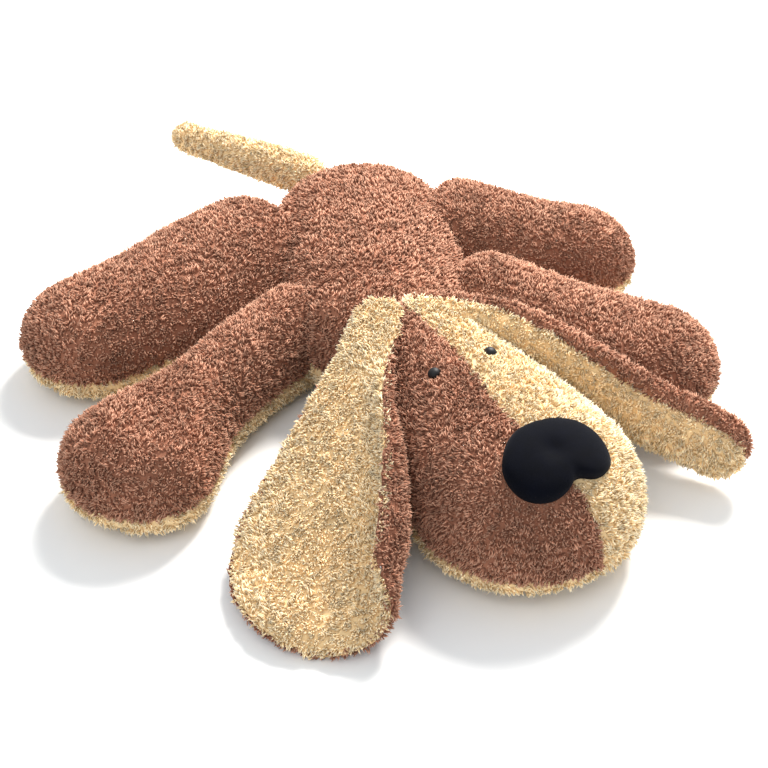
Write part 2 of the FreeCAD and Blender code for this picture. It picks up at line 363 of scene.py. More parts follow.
points, faces = bag_rings(-24 * MM, tail.high[0] - 1 * MM, tail_width, tail_width, TAIL_THICK * 0.72, 0.0,
                          (14 * MM, 10 * MM), (14 * MM, 10 * MM), crown=2.0, base=2.0)
bags["tail"] = even_mesh("tail_bag", points, faces, voxel=3 * MM)
print("tail bag:", len(bags["tail"].data.polygons), "quads")

# %% [markdown]
# ## Stuffing
# Stuffing is a pressure inside the bag. A cloth simulation with pressure and no gravity runs on
# every bag for twenty frames, with the seam line held, as thread holds it. The bags have their full
# form before it, so it only relaxes them: half the points move less than half a millimetre, as
# the lines printed below say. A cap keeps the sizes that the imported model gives.

# %% Blow up the bags
SWELL_CAP = 4.5 * MM
EAR_SWELL_CAP = 1.6 * MM
STUFF_FRAMES = 20
STUFF_PRESSURE = 4.0
seam_height = {body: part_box(f"{body}_sole")[1].z for body in LEGS}
seam_height |= {"trunk": TRUNK_SEAM, "head": CHIN_SEAM, "ear_right": 0.0, "ear_left": 0.0}


def coordinates(mesh):
    """The vertices of a mesh as an array."""
    co = np.empty(len(mesh.vertices) * 3)
    mesh.vertices.foreach_get("co", co)
    return co.reshape(-1, 3)


def set_coordinates(mesh, co):
    """Moves the vertices of a mesh to an array of places."""
    mesh.vertices.foreach_set("co", np.asarray(co, np.float32).ravel())
    mesh.update()


def thread_seam(bag, height):
    """Holds the vertices on the seam while the bag swells."""
    co = coordinates(bag.data)
    group = bag.vertex_groups.new(name="seam")
    group.add(np.flatnonzero(np.abs(co[:, 2] - height) < VOXEL * 0.55).tolist(), 1.0, "REPLACE")
    cloth = bag.modifiers.new("stuffing", "CLOTH")
    cloth.settings.use_pressure = True
    cloth.settings.uniform_pressure_force = STUFF_PRESSURE
    cloth.settings.effector_weights.gravity = 0.0
    cloth.settings.vertex_group_mass = "seam"
    cloth.point_cache.frame_start = 1
    cloth.point_cache.frame_end = STUFF_FRAMES


for body, height in seam_height.items():
    thread_seam(bags[body], height)
for step in range(1, STUFF_FRAMES + 1):
    scene.frame_set(step)
depsgraph = bpy.context.evaluated_depsgraph_get()
for body in seam_height:
    flat = coordinates(bags[body].data)
    swollen = coordinates(bags[body].evaluated_get(depsgraph).data)
    moved = swollen - flat
    far = np.linalg.norm(moved, axis=1, keepdims=True)
    cap = EAR_SWELL_CAP if body.startswith("ear") else SWELL_CAP
    set_coordinates(bags[body].data, flat + moved * np.minimum(1, cap / np.maximum(far, 1e-9)))
    bags[body].modifiers.clear()
    print(body, "swelled by", round(float(np.median(far)) / MM, 1), "mm, capped at", round(cap / MM, 1))
scene.frame_set(1)

# %% [markdown]
# ## Laying the limbs down
# A bag's points are in the limb's own axes. Legs, trunk, head and tail are turned to their
# heading. An ear is bent onto a curved line: at each place along it the flap has a middle, a
# direction across and a direction out of its lining, so it can droop, twist, roll its rim and
# sag into a trough.

# %% Smooth lines through a few places
def smooth_line(stops, values):
    """A function that passes smoothly through values at the given stops."""
    stops, values = np.asarray(stops, float), np.asarray(values, float)
    slopes = np.gradient(values, stops, axis=0)

    def at(x):
        x = np.clip(x, stops[0], stops[-1])
        k = np.clip(np.searchsorted(stops, x) - 1, 0, len(stops) - 2)
        wide = (stops[k + 1] - stops[k])
        t = (x - stops[k]) / wide
        if values.ndim > 1:
            t, wide = t[..., None], wide[..., None]
        return ((1 + 2 * t) * (1 - t) ** 2 * values[k] + t * (1 - t) ** 2 * wide * slopes[k]
                + t * t * (3 - 2 * t) * values[k + 1] + t * t * (t - 1) * wide * slopes[k + 1])
    return at


def rolled_rim(y, z, start, radius, amount):
    """Bends what lies beyond y = start up and over, on a radius, by an amount from 0 to 1."""
    over = np.clip(y - start, 0, None)
    angle = np.maximum(amount * over / radius, 1e-6)
    across = np.minimum(y, start) + over * np.sin(angle) / angle - z * np.sin(angle)
    return across, over * (1 - np.cos(angle)) / angle + z * np.cos(angle)


def bend_flap(points, places, rolls, section):
    """Flat points (x along, y across, z thick) bent onto the line through places. rolls turns the
    flap about that line, in degrees, and section(x, y, z) bends each cross-section in its plane."""
    places = np.asarray(places, float)
    steps = np.concatenate([[0], np.cumsum(np.linalg.norm(np.diff(places, axis=0), axis=1))])
    line = smooth_line(steps, places)
    turn = smooth_line(steps, np.radians(rolls))
    x = points[:, 0]
    inside = np.clip(x, 0, steps[-1])
    small = 2 * MM
    along = unit(line(np.clip(inside + small, 0, steps[-1])) - line(np.clip(inside - small, 0, steps[-1])))
    level = unit(np.cross(UP, along))
    out = np.cross(along, level)
    angle = turn(inside)[:, None]
    across = level * np.cos(angle) + out * np.sin(angle)
    facing = np.cross(along, across)
    side, lift = section(x, points[:, 1], points[:, 2])
    middle = line(inside) + along * (x - inside)[:, None]
    return middle + across * side[:, None] + facing * lift[:, None]


# %% Lines of the two ears
EAR_RIGHT_LINE = np.array([[-4, -60, 84], [-38, -127, 64], [-51, -168, 48], [-62, -199, 33],
                           [-80, -237, 17], [-88, -254, 12]]) * MM
EAR_RIGHT_ROLL = [16, 22, 16, 10, 5, 2]
EAR_LEFT_LINE = np.array([[31, -54, 80], [79, -74, 76], [113, -103, 66], [135, -125, 56], [157, -144, 44],
                          [192, -171, 33], [209, -188, 28]]) * MM
EAR_LEFT_ROLL = [40, 66, 76, 80, 80, 78, 78]
CURL_RIGHT = 16 * MM         # the radius of the rolled rim


def ear_right_section(x, y, z):
    """The flap sags beside the head, and its near rim rolls up against the cheek."""
    half = ear_width(x, EAR_RIGHT_LENGTH, EAR_ROOT_RIGHT, EAR_RIGHT_HALF)
    trough = -5 * MM * ease(x, 10 * MM, 90 * MM) * np.exp(-((y - 4 * MM) / (16 * MM)) ** 2)
    amount = ease(x, 0, 50 * MM) * (1 - 0.5 * ease(x, 190 * MM, EAR_RIGHT_LENGTH))
    return rolled_rim(y, z + trough, half * 0.36, CURL_RIGHT, amount)


def ear_left_section(x, y, z):
    """This flap is thick and stands on its edge, so its section stays straight."""
    return y, z


def laid(body, points):
    """Points in a limb's own axes, where the limb lies."""
    if body == "ear_right":
        return bend_flap(points, EAR_RIGHT_LINE, EAR_RIGHT_ROLL, ear_right_section)
    if body == "ear_left":
        return bend_flap(points, EAR_LEFT_LINE, EAR_LEFT_ROLL, ear_left_section)
    if body == "tail":
        return tail.outward(points) + UP * (tail_root[2] + 0.07 * points[:, 0:1])
    return limbs[body].outward(points)


# %% [markdown]
# ## Cutting the panels
# A panel is what one side of a seam keeps. The seams are flat in the limb's own axes, so a plane
# cuts them cleanly, and a warp before the cut and back after it gives a seam that wanders. The
# cloth is pinched towards the seam, and its edge turns inward as a seam allowance does.

# %% Cut, pinch and hem
HEM = 2.5 * MM
PINCH_REACH, PINCH_DEPTH = 8 * MM, 2.2 * MM


def no_warp(co):
    return np.zeros(len(co))


def finer(bag):
    """A mesh like the bag's with each quad in four, rounded."""
    smooth = bag.modifiers.new("finer", "SUBSURF")
    smooth.levels = 1
    bpy.context.view_layer.update()
    mesh = bpy.data.meshes.new_from_object(bag.evaluated_get(bpy.context.evaluated_depsgraph_get()))
    bag.modifiers.clear()
    return mesh


def cut_panel(name, body, cuts, wander=no_warp):
    """The part of a limb's bag on the positive side of each (point, normal) cut, laid in place.
    wander(co) is how far the seams are moved sideways at each vertex."""
    mesh = finer(bags[body])
    co = coordinates(mesh)
    co[:, 1] -= wander(co)
    set_coordinates(mesh, co)
    built = bmesh.new()
    built.from_mesh(mesh)
    for point, normal in cuts:
        everything = built.verts[:] + built.edges[:] + built.faces[:]
        bmesh.ops.bisect_plane(built, geom=everything, plane_co=point, plane_no=normal, clear_inner=True)
    built.normal_update()
    for vertex in built.verts:
        near = min(((vertex.co - Vector(p)) @ Vector(n) for p, n in cuts), default=PINCH_REACH)
        if near < PINCH_REACH:
            vertex.co -= vertex.normal * PINCH_DEPTH * (1 - max(near, 0) / PINCH_REACH) ** 2
    edges = [edge for edge in built.edges if edge.is_boundary]
    if edges:
        made = bmesh.ops.extrude_edge_only(built, edges=edges)["geom"]
        for vertex in (g for g in made if isinstance(g, bmesh.types.BMVert)):
            joined = [edge.other_vert(vertex) for edge in vertex.link_edges]
            outer = [other for other in joined if not other.is_boundary]
            if outer:
                vertex.co -= outer[0].normal * HEM
    mesh.clear_geometry()
    mesh.name = name
    built.to_mesh(mesh)
    built.free()
    co = coordinates(mesh)
    co[:, 1] += wander(co)
    set_coordinates(mesh, laid(body, co))
    mesh.polygons.foreach_set("use_smooth", [True] * len(mesh.polygons))
    return mesh


# %% [markdown]
# ## Curly pile
# Plush cloth is a knitted backing with a short curly pile. Each strand is a real three-sided
# thread that rises from the backing, bends, and leans with its neighbours, because strands gather
# into tufts. Tufts lean along a combed direction that wanders a little, and the strands on
# the underside are pressed flat by the toy's own weight. Roots are dark, partly as painted shade
# deep in the pile, and tips are pale, partly as a painted highlight, and each strand carries
# that in its own values for the material to read.

# %% Wandering directions
def wandering(points, seed, size):
    """A smooth vector that changes over a distance of about size, the same on each run."""
    random = np.random.default_rng(seed)
    waves = random.normal(size=(6, 3, 3)) / size
    shifts = random.uniform(0, 2 * math.pi, (6, 3))
    return sum(np.sin(points @ wave + shift) for wave, shift in zip(waves, shifts)) / math.sqrt(3)


# %% Forms that a strand may not start inside
forms = {}
for body in bags:
    bag = bags[body]
    co = laid(body, coordinates(bag.data))
    forms[body] = BVHTree.FromPolygons(co.tolist(), [tuple(p.vertices) for p in bag.data.polygons])


def buried(points, others, depth=7 * MM):
    """Which points lie deeper than depth inside any of the other limbs."""
    inside = np.zeros(len(points), bool)
    for body in others:
        for k, point in enumerate(points):
            if not inside[k]:
                near, normal, _, far = forms[body].find_nearest(Vector(point), 0.12)
                inside[k] = near is not None and far > depth and (Vector(point) - near).dot(normal) < 0
    return inside


# %% Strands
STRAND_LENGTH = 4.0 * MM
STRAND_RADIUS = 0.50 * MM
STRANDS_MOST = 19500       # caps the number of strands on each piece; keeps each piece's mesh to a size that exports whole
TUFT_STRANDS = 6
FLOOR_CLEAR = 0.4 * MM
SHORTEST, LONGEST = 0.75, 1.2               # strand lengths against STRAND_LENGTH
SLOW_SWAY, SLOW_SIZE = 0.75, 22 * MM        # how much the comb wanders over wide patches
QUICK_SWAY, QUICK_SIZE = 0.8, 4 * MM        # and from tuft to tuft
STRAY = 0.75                                # how far a strand leaves its tuft's direction
LEAN_LEAST, LEAN_MOST = 0.45, 1.05          # radians from upright
GATHER, CURL = 0.5, 0.30                    # how far tips draw together, and how far a strand bows
RING_AT = np.array([0.0, 0.55])
RING_SIZE = np.array([0.9, 1.1])
BACKING_ALONG, BACKING_SHADE = 0.45, 0.5       # the backing is coloured like the lower half of a strand, with part of its painted shade


def strand_roots(mesh, density, random):
    """Places spread evenly over a mesh, with the smooth normal at each."""
    mesh.calc_loop_triangles()
    co = coordinates(mesh)
    normals = np.array([v.normal for v in mesh.vertices])
    corners = np.array([t.vertices for t in mesh.loop_triangles])
    a, b, c = co[corners[:, 0]], co[corners[:, 1]], co[corners[:, 2]]
    area = np.linalg.norm(np.cross(b - a, c - a), axis=1) / 2
    count = min(int(area.sum() * density), STRANDS_MOST)
    pick = random.choice(len(corners), count, p=area / area.sum())
    u, v = random.uniform(size=(2, count))
    fold = u + v > 1
    u[fold], v[fold] = 1 - u[fold], 1 - v[fold]
    share = np.stack([1 - u - v, u, v], axis=1)[:, :, None]
    return (co[corners[pick]] * share).sum(1), unit((normals[corners[pick]] * share).sum(1))


def panel_area(mesh):
    """The area of a mesh."""
    return sum(polygon.area for polygon in mesh.polygons)


def tufts(roots, random):
    """For each strand, the number of the strand that its tuft gathers to."""
    centres = random.permutation(len(roots))[: max(1, len(roots) // TUFT_STRANDS)]
    tree = kdtree.KDTree(len(centres))
    for index in centres:
        tree.insert(roots[index], int(index))
    tree.balance()
    return np.array([tree.find(root)[1] for root in roots])


def pile(mesh, name, seed, density, comb, others=(), trim=None):
    """The panel's mesh with its pile grown on it, as one object."""
    random = np.random.default_rng(seed)
    roots, normals = strand_roots(mesh, density, random)
    spread = math.sqrt(density * panel_area(mesh) / len(roots))
    keep = ~buried(roots, others)
    if trim is not None:
        cropped = trim(roots)
        keep &= cropped > 0.12
    roots, normals = roots[keep], normals[keep]
    count = len(roots)
    length = STRAND_LENGTH * random.uniform(SHORTEST, LONGEST, count)
    if trim is not None:
        length = length * cropped[keep]
    pressed = 1 - 0.62 * ease(-normals[:, 2], 0.5, 0.95) * ease(-roots[:, 2], -14 * MM, -4 * MM)
    tuft = tufts(roots, random)
    flow = np.asarray(comb, float) + SLOW_SWAY * wandering(roots, seed + 1, SLOW_SIZE)
    flow = flow + QUICK_SWAY * wandering(roots, seed + 2, QUICK_SIZE)
    flow = unit(flow - normals * (flow * normals).sum(1, keepdims=True))
    flow = unit(flow[tuft] + STRAY * random.normal(size=(count, 3)))
    lean = random.uniform(LEAN_LEAST, LEAN_MOST, count)[tuft] * random.uniform(0.85, 1.15, count)
    rise = normals * (length * pressed * np.cos(lean))[:, None]
    tips = roots + rise + flow * (length * np.sin(lean))[:, None]
    tips = tips + GATHER * (tips[tuft] - tips) * random.uniform(0.4, 1.0, (count, 1))
    curl = unit(random.normal(size=(count, 3))) * (length * CURL)[:, None]
    middle = roots + 0.62 * rise + flow * (length * 0.16)[:, None] + curl
    line = unit(tips - roots)
    first = unit(np.cross(line, random.normal(size=(count, 3))))
    second = np.cross(line, first)
    thick = STRAND_RADIUS * spread * random.uniform(0.8, 1.25, count)
    rings = []
    for at, ring_size in zip(RING_AT, RING_SIZE):
        centre = (1 - at) ** 2 * (roots - 0.4 * MM * normals) + 2 * at * (1 - at) * middle + at * at * tips
        for angle in (0, 2 * math.pi / 3, 4 * math.pi / 3):
            around = first * math.cos(angle) + second * math.sin(angle)
            rings.append(centre + around * (thick * ring_size)[:, None])
    strand = np.stack([*rings, tips], axis=1)
    strand[:, :, 2] = np.maximum(strand[:, :, 2], FLOOR_CLEAR)
    cloth = coordinates(mesh)
    cloth[:, 2] = np.maximum(cloth[:, 2], FLOOR_CLEAR)
    set_coordinates(mesh, cloth)
    along = np.append(np.repeat(RING_AT, 3), 1.0)
    shade = 0.5 + 0.22 * random.normal(size=count)[tuft] + 0.16 * random.normal(size=count)
    shade = np.clip(shade, 0, 1)
    return grown(mesh, name, strand, along, shade)


def grown(mesh, name, strand, along, shade):
    """Joins the strands to the backing, as one object that carries their values."""
    count, each = strand.shape[:2]
    levels = len(RING_AT)
    quads = [(3 * r + k, 3 * r + (k + 1) % 3, 3 * r + 3 + (k + 1) % 3, 3 * r + 3 + k)
             for r in range(levels - 1) for k in range(3)]
    ends = [(3 * (levels - 1) + k, 3 * (levels - 1) + (k + 1) % 3, each - 1) for k in range(3)]
    backing = coordinates(mesh)
    shift = len(backing) + each * np.arange(count)[:, None, None]
    quad_corners = (np.array(quads)[None] + shift).reshape(-1, 4)
    end_corners = (np.array(ends)[None] + shift).reshape(-1, 3)
    old = [tuple(p.vertices) for p in mesh.polygons]
    loops = np.concatenate([np.concatenate(old), quad_corners.ravel(), end_corners.ravel()])
    sizes = np.concatenate([[len(p) for p in old], np.full(len(quad_corners), 4),
                            np.full(len(end_corners), 3)])
    full = bpy.data.meshes.new(name)
    full.vertices.add(len(backing) + each * count)
    places = np.concatenate([backing, strand.reshape(-1, 3)])
    full.vertices.foreach_set("co", places.astype(np.float32).ravel())
    full.loops.add(len(loops))
    full.loops.foreach_set("vertex_index", loops.astype(np.int32))
    full.polygons.add(len(sizes))
    starts = np.concatenate([[0], np.cumsum(sizes)[:-1]])
    full.polygons.foreach_set("loop_start", starts.astype(np.int32))
    full.polygons.foreach_set("use_smooth", [True] * len(sizes))
    full.update()
    carried = {"pile_along": (BACKING_ALONG, np.tile(along, count)),
               "pile_shade": (BACKING_SHADE, np.repeat(shade, each))}
    for label, (on_backing, on_strands) in carried.items():
        values = np.concatenate([np.full(len(backing), on_backing), on_strands])
        full.attributes.new(label, "FLOAT", "POINT").data.foreach_set("value", values.astype(np.float32))
    print(name, count, "strands,", int((sizes - 2).sum()), "triangles")
    return placed(name, full)


# %% [markdown]
# ## Plush colours
# Brown and cream plush are one cloth in two dyes, so their pattern is one node group: the strand
# runs from a dark root, partly painted shade deep in the pile, to a pale tip, partly a painted
# highlight on the tips; each tuft differs a little, and wide soft patches of painted light and
# shade stand for where the pile lies another way. The shader itself stays in each material, matt
# with a soft sheen.

# %% The pile pattern as a node group
def wire(tree, source, target):
    tree.links.new(source, target)


def make_group(name, inputs, outputs):
    """An empty shader group with named sockets, each (name, kind, start value)."""
    group = bpy.data.node_groups.new(name, "ShaderNodeTree")
    for label, kind, start in inputs:
        socket = group.interface.new_socket(label, in_out="INPUT", socket_type=kind)
        socket.default_value = start
    for label, kind in outputs:
        group.interface.new_socket(label, in_out="OUTPUT", socket_type=kind)
    return group, group.nodes.new("NodeGroupInput"), group.nodes.new("NodeGroupOutput")


def mixed(tree, factor, a, b, mode="MIX"):
    """A colour mix node's result. Each of factor, a and b is a socket or a value."""
    node = tree.nodes.new("ShaderNodeMix")
    node.data_type = "RGBA"
    node.blend_type = mode
    for index, value in ((0, factor), (6, a), (7, b)):
        if isinstance(value, bpy.types.NodeSocket):
            wire(tree, value, node.inputs[index])
        else:
            node.inputs[index].default_value = value
    return node.outputs[2]


def number(tree, operation, a, b=0.0):
    """A math node's result."""
    node = tree.nodes.new("ShaderNodeMath")
    node.operation = operation
    for index, value in ((0, a), (1, b)):
        if isinstance(value, bpy.types.NodeSocket):
            wire(tree, value, node.inputs[index])
        else:
            node.inputs[index].default_value = value
    return node.outputs[0]


def ranged(tree, value, low, high, to_low, to_high):
    """A value carried from one range to another."""
    node = tree.nodes.new("ShaderNodeMapRange")
    wire(tree, value, node.inputs[0])
    for index, limit in enumerate((low, high, to_low, to_high), start=1):
        node.inputs[index].default_value = limit
    return node.outputs[0]


def noise(tree, scale, detail=3.0):
    """Noise in the row frame's own metres."""
    place = tree.nodes.new("ShaderNodeTexCoord")
    node = tree.nodes.new("ShaderNodeTexNoise")
    node.inputs["Scale"].default_value = scale
    node.inputs["Detail"].default_value = detail
    wire(tree, place.outputs["Object"], node.inputs["Vector"])
    return node.outputs[0]


def attribute(tree, name):
    """A value that the mesh carries."""
    node = tree.nodes.new("ShaderNodeAttribute")
    node.attribute_name = name
    return node.outputs["Fac"]


pile_group, pile_in, pile_out = make_group(
    "curly_pile",
    [("Root", "NodeSocketColor", (0.1, 0.05, 0.03, 1)), ("Body", "NodeSocketColor", (0.3, 0.15, 0.1, 1)),
     ("Tip", "NodeSocketColor", (0.5, 0.3, 0.2, 1)), ("Patches", "NodeSocketFloat", 0.3)],
    [("Color", "NodeSocketColor"), ("Height", "NodeSocketFloat")])
along = attribute(pile_group, "pile_along")
shade = attribute(pile_group, "pile_shade")
# Painted shade and highlight: the colour runs from the dark root, partly painted shade deep in the pile, to
# the pale tip, partly a painted highlight.
lower = ranged(pile_group, along, 0.0, 0.62, 0.0, 1.0)
upper = ranged(pile_group, along, 0.55, 1.0, 0.0, 1.0)
strand_colour = mixed(pile_group, lower, pile_in.outputs["Root"], pile_in.outputs["Body"])
strand_colour = mixed(pile_group, upper, strand_colour, pile_in.outputs["Tip"])
tuft_light = ranged(pile_group, shade, 0.0, 1.0, 0.66, 1.34)
# Painted light and shade: wide soft noise patches lighten and darken the pile where it would lie another
# way.
patch_light = ranged(pile_group, noise(pile_group, 26.0), 0.3, 0.7, -0.5, 0.5)
patch_light = number(pile_group, "MULTIPLY", patch_light, pile_in.outputs["Patches"])
light = number(pile_group, "ADD", tuft_light, patch_light)
light_colour = pile_group.nodes.new("ShaderNodeCombineColor")
for channel in range(3):
    wire(pile_group, light, light_colour.inputs[channel])
strand_colour = mixed(pile_group, 1.0, strand_colour, light_colour.outputs[0], mode="MULTIPLY")
wire(pile_group, strand_colour, pile_out.inputs["Color"])
wire(pile_group, noise(pile_group, 1900.0, 2.0), pile_out.inputs["Height"])
print("curly_pile group:", len(pile_group.nodes), "nodes")

# %% Plush materials
def linear(red, green, blue):
    """A colour from the 0 to 255 of a dye card, as a shader wants it."""
    return (*(((c / 255 + 0.055) / 1.055) ** 2.4 for c in (red, green, blue)), 1.0)


def new_material(name, roughness):
    """A material with its shader, and the shader's tree."""
    material = bpy.data.materials.new(name)
    material.use_nodes = True
    shader = material.node_tree.nodes["Principled BSDF"]
    shader.inputs["Roughness"].default_value = roughness
    return material, material.node_tree, shader


def bumped(tree, shader, height, strength, distance):
    """Puts a height on the shader's normal."""
    bump = tree.nodes.new("ShaderNodeBump")
    bump.inputs["Strength"].default_value = strength
    bump.inputs["Distance"].default_value = distance
    wire(tree, height, bump.inputs["Height"])
    wire(tree, bump.outputs["Normal"], shader.inputs["Normal"])


def plush(name, root, body, tip, patches, sheen):
    """Plush cloth in one dye, with painted shade towards the roots, a painted highlight towards the tips and
    patches of painted light and shade.
    """
    material, tree, shader = new_material(name, 0.92)
    group = tree.nodes.new("ShaderNodeGroup")
    group.node_tree = pile_group
    group.inputs["Root"].default_value = linear(*root)
    group.inputs["Body"].default_value = linear(*body)
    group.inputs["Tip"].default_value = linear(*tip)
    # Patches sets how strong the painted light and shade patches are.
    group.inputs["Patches"].default_value = patches
    wire(tree, group.outputs["Color"], shader.inputs["Base Color"])
    bumped(tree, shader, group.outputs["Height"], 0.5, 0.3 * MM)
    shader.inputs["Sheen Weight"].default_value = sheen
    shader.inputs["Sheen Roughness"].default_value = 0.6
    shader.inputs["Sheen Tint"].default_value = linear(*tip)
    shader.inputs["Specular IOR Level"].default_value = 0.2
    return material


# The root colours are partly painted shade deep in the pile, and the tip colours partly a painted highlight.
brown_plush = plush("brown_plush", (104, 63, 47), (160, 108, 84), (214, 168, 142), 0.24, 0.36)
cream_plush = plush("cream_plush", (206, 168, 116), (240, 212, 164), (253, 241, 214), 0.16, 0.25)

# %% [markdown]
# ## Filling
# Inside each bag is a body of white polyester fibre. It is never seen, but it is what the cloth
# lies on, so each limb gets its filling: the bag's own form, drawn in so that no pose pushes it out.

# %% Filling pieces
FILLING_IN = 6 * MM


def white_fibre(name):
    """Lofted white fibre."""
    material, tree, shader = new_material(name, 0.95)
    cloud = noise(tree, 60.0, 6.0)
    wire(tree, mixed(tree, cloud, linear(206, 204, 198), linear(246, 245, 241)), shader.inputs["Base Color"])
    bumped(tree, shader, noise(tree, 420.0, 4.0), 0.7, 1.5 * MM)
    return material


fibre = white_fibre("fibre_fill")
batting = white_fibre("ear_batting")


def filling(body, node, material, inward=FILLING_IN):
    """The bag's form drawn in, in place of a CAD filling."""
    mesh = bags[body].data.copy()
    mesh.name = f"{node}_fibre"
    co = coordinates(mesh)
    normals = np.array([v.normal for v in mesh.vertices])
    drawn_in = laid(body, co - normals * inward)
    drawn_in[:, 2] = np.maximum(drawn_in[:, 2], inward / 2)
    set_coordinates(mesh, drawn_in)
    mesh.polygons.foreach_set("use_smooth", [True] * len(mesh.polygons))
    mesh.materials.clear()
    mesh.materials.append(material)
    piece = placed(f"{node}_fibre", mesh)
    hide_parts(node)
    return piece


# %% [markdown]
# ## Fixing each piece in place
# A piece's placement is written into its mesh.


def follow(piece, body):
    """Writes a piece's placement into its mesh, the same way for every limb."""
    if body == "trunk":
        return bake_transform(piece)
    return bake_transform(piece)


def dressed(piece, body, node, material):
    """Gives a cloth panel its finish, hides the CAD node it stands for, and writes its placement into its
    mesh.
    """
    piece.data.materials.clear()
    piece.data.materials.append(material)
    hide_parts(node)
    return follow(piece, body)


# %% [markdown]
# ## The legs' cloth
# Brown on top and cream underneath, joined at the seam round the edge. Pile on the sole is kept
# thinner, since it is pressed against the floor.

# %% Grow the legs
TOP_DENSITY = 0.62 / MM ** 2
SOLE_DENSITY = 0.32 / MM ** 2
Y, Z = Vector((0, 1, 0)), Vector((0, 0, 1))

comb = trunk_ahead * -0.3 - UP * 0.1       # the nap runs towards the tail
for index, body in enumerate(LEGS):
    height = seam_height[body]
    seam_point = Vector((0, 0, height))
    top = cut_panel(f"{body}_top_cloth", body, [(seam_point, Z)])
    dressed(pile(top, f"{body}_top_plush", 100 + index, TOP_DENSITY, comb, ["trunk"]),
            body, f"{body}_top", brown_plush)
    sole = cut_panel(f"{body}_sole_cloth", body, [(seam_point, -Z)])
    dressed(pile(sole, f"{body}_sole_plush", 110 + index, SOLE_DENSITY, comb, ["trunk"]),
            body, f"{body}_sole", cream_plush)
    follow(filling(body, f"{body}_stuffing", fibre), body)

# %% [markdown]
# ## The trunk's cloth
# The back is one brown panel and the belly one cream panel.

# %% Grow the trunk
seam_point = Vector((0, 0, TRUNK_SEAM))
back = cut_panel("back_cloth", "trunk", [(seam_point, Z)])
dressed(pile(back, "back_panel_plush", 130, TOP_DENSITY, comb, [*LEGS, "head"]),
        "trunk", "back_panel", brown_plush)
belly = cut_panel("belly_cloth", "trunk", [(seam_point, -Z)])
dressed(pile(belly, "belly_panel_plush", 131, SOLE_DENSITY, comb, [*LEGS, "head"]),
        "trunk", "belly_panel", cream_plush)
follow(filling("trunk", "trunk_stuffing", fibre), "trunk")

# %% [markdown]
# ## The face
# The face is two panels, brown on the dog's right and cream on its left. Their seam leaves the
# middle of the skull, wanders a little to the right, and swings left below the nose. The chin
# panel under them is cream.

# %% Face seam and pile
FACE_SEAM_STOPS = np.array([-60, 0, 50, 140, 190, 215, 240]) * MM
FACE_SEAM_SIDE = np.array([-8, -7, -4, -6, 6, 12, 12]) * MM
face_seam = smooth_line(FACE_SEAM_STOPS, FACE_SEAM_SIDE)


def face_wander(co):
    return face_seam(co[:, 0])


seam_point = Vector((0, 0, CHIN_SEAM))
middle_point = Vector((0, 0, 0))
print("face seam swings from", FACE_SEAM_SIDE.min() / MM, "to", FACE_SEAM_SIDE.max() / MM, "mm")

# %% [markdown]
# ## Eyes
# Each eye is a small black bead pressed into the cloth, so that the pile closes round it. It is
# turned from a half profile, with a low dome, a soft shoulder and a shank that goes in to the
# washer. The pile is clipped shorter where the bead shows.

# %% Eye places and beads
EYE_RADIUS = (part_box("eye_right")[1].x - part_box("eye_right")[0].x) / 2


def centre_of(node):
    """The middle of a node's box."""
    low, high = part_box(node)
    return np.array((low + high) / 2)


def head_surface(x, y):
    """The height of the head's cloth above a place, and its normal there."""
    near, normal, _, _ = forms["head"].ray_cast(Vector((x, y, 0.2)), Vector((0, 0, -1)))
    return np.array(near), np.array(normal)


EYE_SHIFT = {"eye_right": np.array([-4, -2, 0]) * MM, "eye_left": np.array([-4, -1, 0]) * MM}
eye_seats = {}
for eye, shift in EYE_SHIFT.items():
    place = centre_of(eye) + shift
    eye_seats[eye] = head_surface(place[0], place[1])
    print(eye, "sits at", (eye_seats[eye][0] / MM).round(1))

# %% [markdown]
# ## Nose
# The nose is a wide bean of padded velour with a notch in its lower edge, sewn flat all round and
# full in the middle, with a dimple where it is pulled in. It follows the slope of the muzzle.

# %% The outline of the nose
NOSE_CENTRE = np.array([67, -222]) * MM
NOSE_SURFACE, NOSE_NORMAL = head_surface(*NOSE_CENTRE)
nose_across = unit(np.cross(NOSE_NORMAL, head.ahead))
nose_down = np.cross(nose_across, NOSE_NORMAL)
print("nose sits at", (NOSE_SURFACE / MM).round(1), "facing", NOSE_NORMAL.round(2))
NOSE_STOPS = np.radians([0, 30, 60, 90, 120, 150, 180, 210, 240, 262, 283, 296, 311, 330, 360])
NOSE_RADII = np.array([35, 32.5, 28.5, 27, 28.5, 31, 34.5, 34.5, 28.5, 22.5, 18, 19.5, 27, 34, 35]) * MM
nose_radius = smooth_line(NOSE_STOPS, NOSE_RADII)
NOSE_RINGS, NOSE_SPOKES = 16, 96
NOSE_PAD, NOSE_STEP = 5.0 * MM, 4.0 * MM      # the padding's rise, and the edge's height off the cloth
DIMPLE_DEPTH, DIMPLE_REACH = 2.2 * MM, 7 * MM


def nose_place(angle, share):
    """A point of the muzzle under the nose: angle runs round it, share from middle to edge."""
    r = nose_radius(np.array([angle]))[0] * share
    flat = NOSE_SURFACE + nose_across * r * math.cos(angle) - nose_down * r * math.sin(angle)
    start = Vector(flat + NOSE_NORMAL * 30 * MM)
    near, normal, _, _ = forms["head"].ray_cast(start, Vector(-NOSE_NORMAL))
    return np.array(near), np.array(normal)


def on_nose(points):
    """1 away from the nose, 0 under it, with a soft edge."""
    offset = points - NOSE_SURFACE
    across, down = offset @ nose_across, offset @ nose_down
    angle = np.mod(np.arctan2(-down, across), 2 * math.pi)
    far = np.hypot(across, down) - nose_radius(angle)
    away = offset @ NOSE_NORMAL > -45 * MM
    return np.where(away, ease(far, -1.0 * MM, 3.0 * MM), 1.0)


def face_trim(points):
    """How long the pile may be on the face: none under the nose, short round the eyes."""
    left = on_nose(points)
    for seat, _ in eye_seats.values():
        left = left * (0.1 + 0.9 * ease(np.linalg.norm(points - seat, axis=1), 3.5 * MM, 7.5 * MM))
    return left


